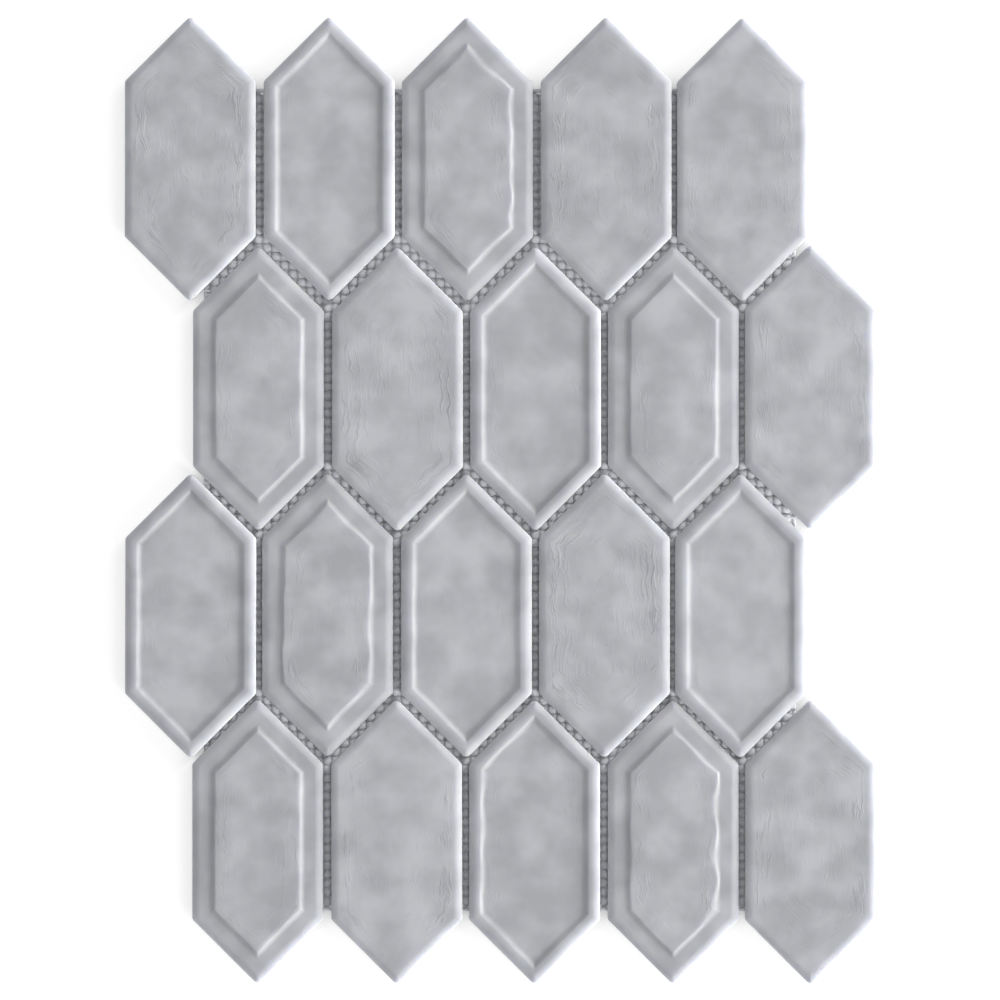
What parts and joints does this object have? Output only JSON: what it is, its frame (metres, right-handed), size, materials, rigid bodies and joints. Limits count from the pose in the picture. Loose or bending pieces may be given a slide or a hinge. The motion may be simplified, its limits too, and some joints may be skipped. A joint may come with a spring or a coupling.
{
  "type": "glass mosaic tile sheet",
  "caption": "Sheet of elongated hexagonal glass mosaic tiles with plain, framed and raised faces, glued on a fibre net so that sheets interlock and fix to a wall with adhesive.",
  "frame": {"origin": "middle of the sheet's outline, on the underside of the net", "axes": "+Z out of the tile faces, +Y along the length of the tiles, +X across them"},
  "size_m": [0.2336, 0.2998, 0.007],
  "materials": {
    "tile_glass": "fire-polished opaque grey glass",
    "net_fibre": "resin-coated glass-fibre net"
  },
  "bodies": {
    "root": {"plain_tile_r1c1": "tile_glass", "framed_tile_r1c2": "tile_glass", "raised_tile_r1c3": "tile_glass", "plain_tile_r1c4": "tile_glass", "plain_tile_r1c5": "tile_glass", "raised_tile_r2c1": "tile_glass", "plain_tile_r2c2": "tile_glass", "framed_tile_r2c3": "tile_glass", "raised_tile_r2c4": "tile_glass", "plain_tile_r2c5": "tile_glass", "framed_tile_r3c1": "tile_glass", "raised_tile_r3c2": "tile_glass", "framed_tile_r3c3": "tile_glass", "plain_tile_r3c4": "tile_glass", "framed_tile_r3c5": "tile_glass", "raised_tile_r4c1": "tile_glass", "plain_tile_r4c2": "tile_glass", "framed_tile_r4c3": "tile_glass", "raised_tile_r4c4": "tile_glass", "plain_tile_r4c5": "tile_glass", "net_lengthwise_strands": "net_fibre", "net_crosswise_strands": "net_fibre"}
  },
  "joints": []
}
